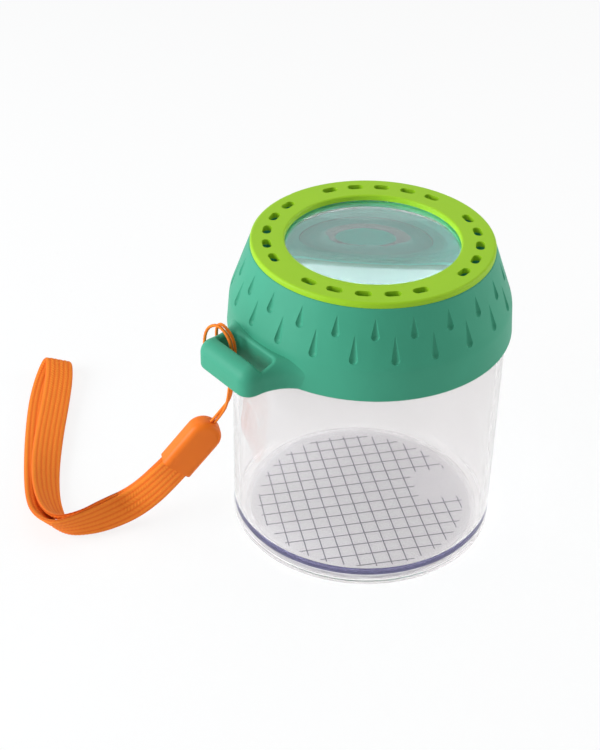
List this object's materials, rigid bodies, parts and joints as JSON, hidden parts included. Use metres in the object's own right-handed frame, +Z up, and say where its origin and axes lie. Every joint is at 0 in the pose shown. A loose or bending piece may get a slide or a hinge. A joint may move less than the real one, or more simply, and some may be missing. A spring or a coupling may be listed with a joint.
{
  "type": "bug catcher jar",
  "caption": "Clear round jar with a screw-off lid that holds a magnifier lens under a vented ring, and a wrist strap hitched to a lug on the lid.",
  "frame": {"origin": "centre of the jar's foot ring, on the plane that it stands on", "axes": "+Z up along the jar's axis; -Y towards the viewer of the picture; the strap's lug is on the -X, -Y side"},
  "size_m": [0.1626, 0.117, 0.1007],
  "materials": {
    "clear_plastic": "clear gloss",
    "lens_plastic": "clear gloss",
    "teal_plastic": "satin",
    "lime_plastic": "satin",
    "orange_plastic": "satin",
    "orange_cord": "twisted cord",
    "orange_braid": "ribbed braid"
  },
  "bodies": {
    "jar": {"jar_cup": "clear_plastic"},
    "lens": {"magnifier_lens": "lens_plastic"},
    "lid": {"lid_shell": "teal_plastic", "vent_ring": "lime_plastic", "cord_loop": "orange_cord", "strap_cap": "orange_plastic", "wrist_strap": "orange_braid"}
  },
  "joints": [
    {"name": "lid_lift", "type": "slide", "parent": "jar", "child": "lens", "axis": [0, 0, 1], "range_m": [0, 0.0101]},
    {"name": "lid_turn", "type": "hinge", "parent": "lens", "child": "lid", "pos_m": [0, 0, 0.0955], "axis": [0, 0, 1], "range_deg": [0, 360]}
  ],
  "couplings": [
    {"joint": "lid_lift", "follows": "lid_turn", "m_per_rad": 0.0015915}
  ]
}
